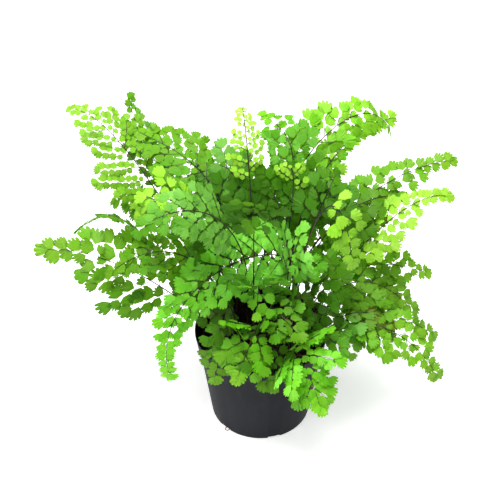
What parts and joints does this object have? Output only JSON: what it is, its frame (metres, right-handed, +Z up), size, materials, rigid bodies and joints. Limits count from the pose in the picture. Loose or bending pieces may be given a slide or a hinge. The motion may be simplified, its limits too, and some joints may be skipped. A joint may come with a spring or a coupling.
{
  "type": "potted fern",
  "caption": "Maidenhair fern with arching fronds of small fan-shaped leaflets on thin black stalks, growing in a black plastic nursery pot.",
  "frame": {"origin": "middle of the pot's underside, on the surface that it stands on", "axes": "+Z up; +X along the plant's wider side; -Y is the plant's front"},
  "size_m": [0.3672, 0.2332, 0.316],
  "materials": {
    "pot_plastic": "satin moulded black plastic with fine scuffs",
    "compost": "moist dark potting mix of bark and coir crumbs",
    "root": "dry pinkish brown root skin",
    "leaf": "thin soft green leaf, slightly translucent, on nearly black stalks"
  },
  "bodies": {
    "root": {"pot": "pot_plastic", "soil": "compost", "root_loop": "root", "frond_01": "leaf", "frond_02": "leaf", "frond_03": "leaf", "frond_04": "leaf", "frond_05": "leaf", "frond_06": "leaf", "frond_07": "leaf", "frond_08": "leaf", "frond_09": "leaf", "frond_10": "leaf", "frond_11": "leaf", "frond_12": "leaf", "frond_13": "leaf", "frond_14": "leaf", "frond_15": "leaf", "frond_16": "leaf", "frond_17": "leaf", "frond_18": "leaf", "frond_19": "leaf", "frond_20": "leaf", "frond_21": "leaf", "frond_22": "leaf", "frond_23": "leaf", "frond_24": "leaf", "frond_25": "leaf", "frond_26": "leaf", "frond_27": "leaf", "frond_28": "leaf", "frond_29": "leaf", "frond_30": "leaf", "frond_31": "leaf", "frond_32": "leaf", "frond_33": "leaf", "frond_34": "leaf", "frond_35": "leaf", "frond_36": "leaf", "frond_37": "leaf", "frond_38": "leaf", "frond_39": "leaf", "frond_40": "leaf", "frond_41": "leaf", "frond_42": "leaf", "frond_43": "leaf", "frond_44": "leaf", "frond_45": "leaf", "frond_46": "leaf", "frond_47": "leaf", "frond_48": "leaf", "frond_49": "leaf", "frond_50": "leaf", "frond_51": "leaf", "frond_52": "leaf", "frond_53": "leaf", "frond_54": "leaf", "frond_55": "leaf", "frond_56": "leaf", "frond_57": "leaf"}
  },
  "joints": []
}
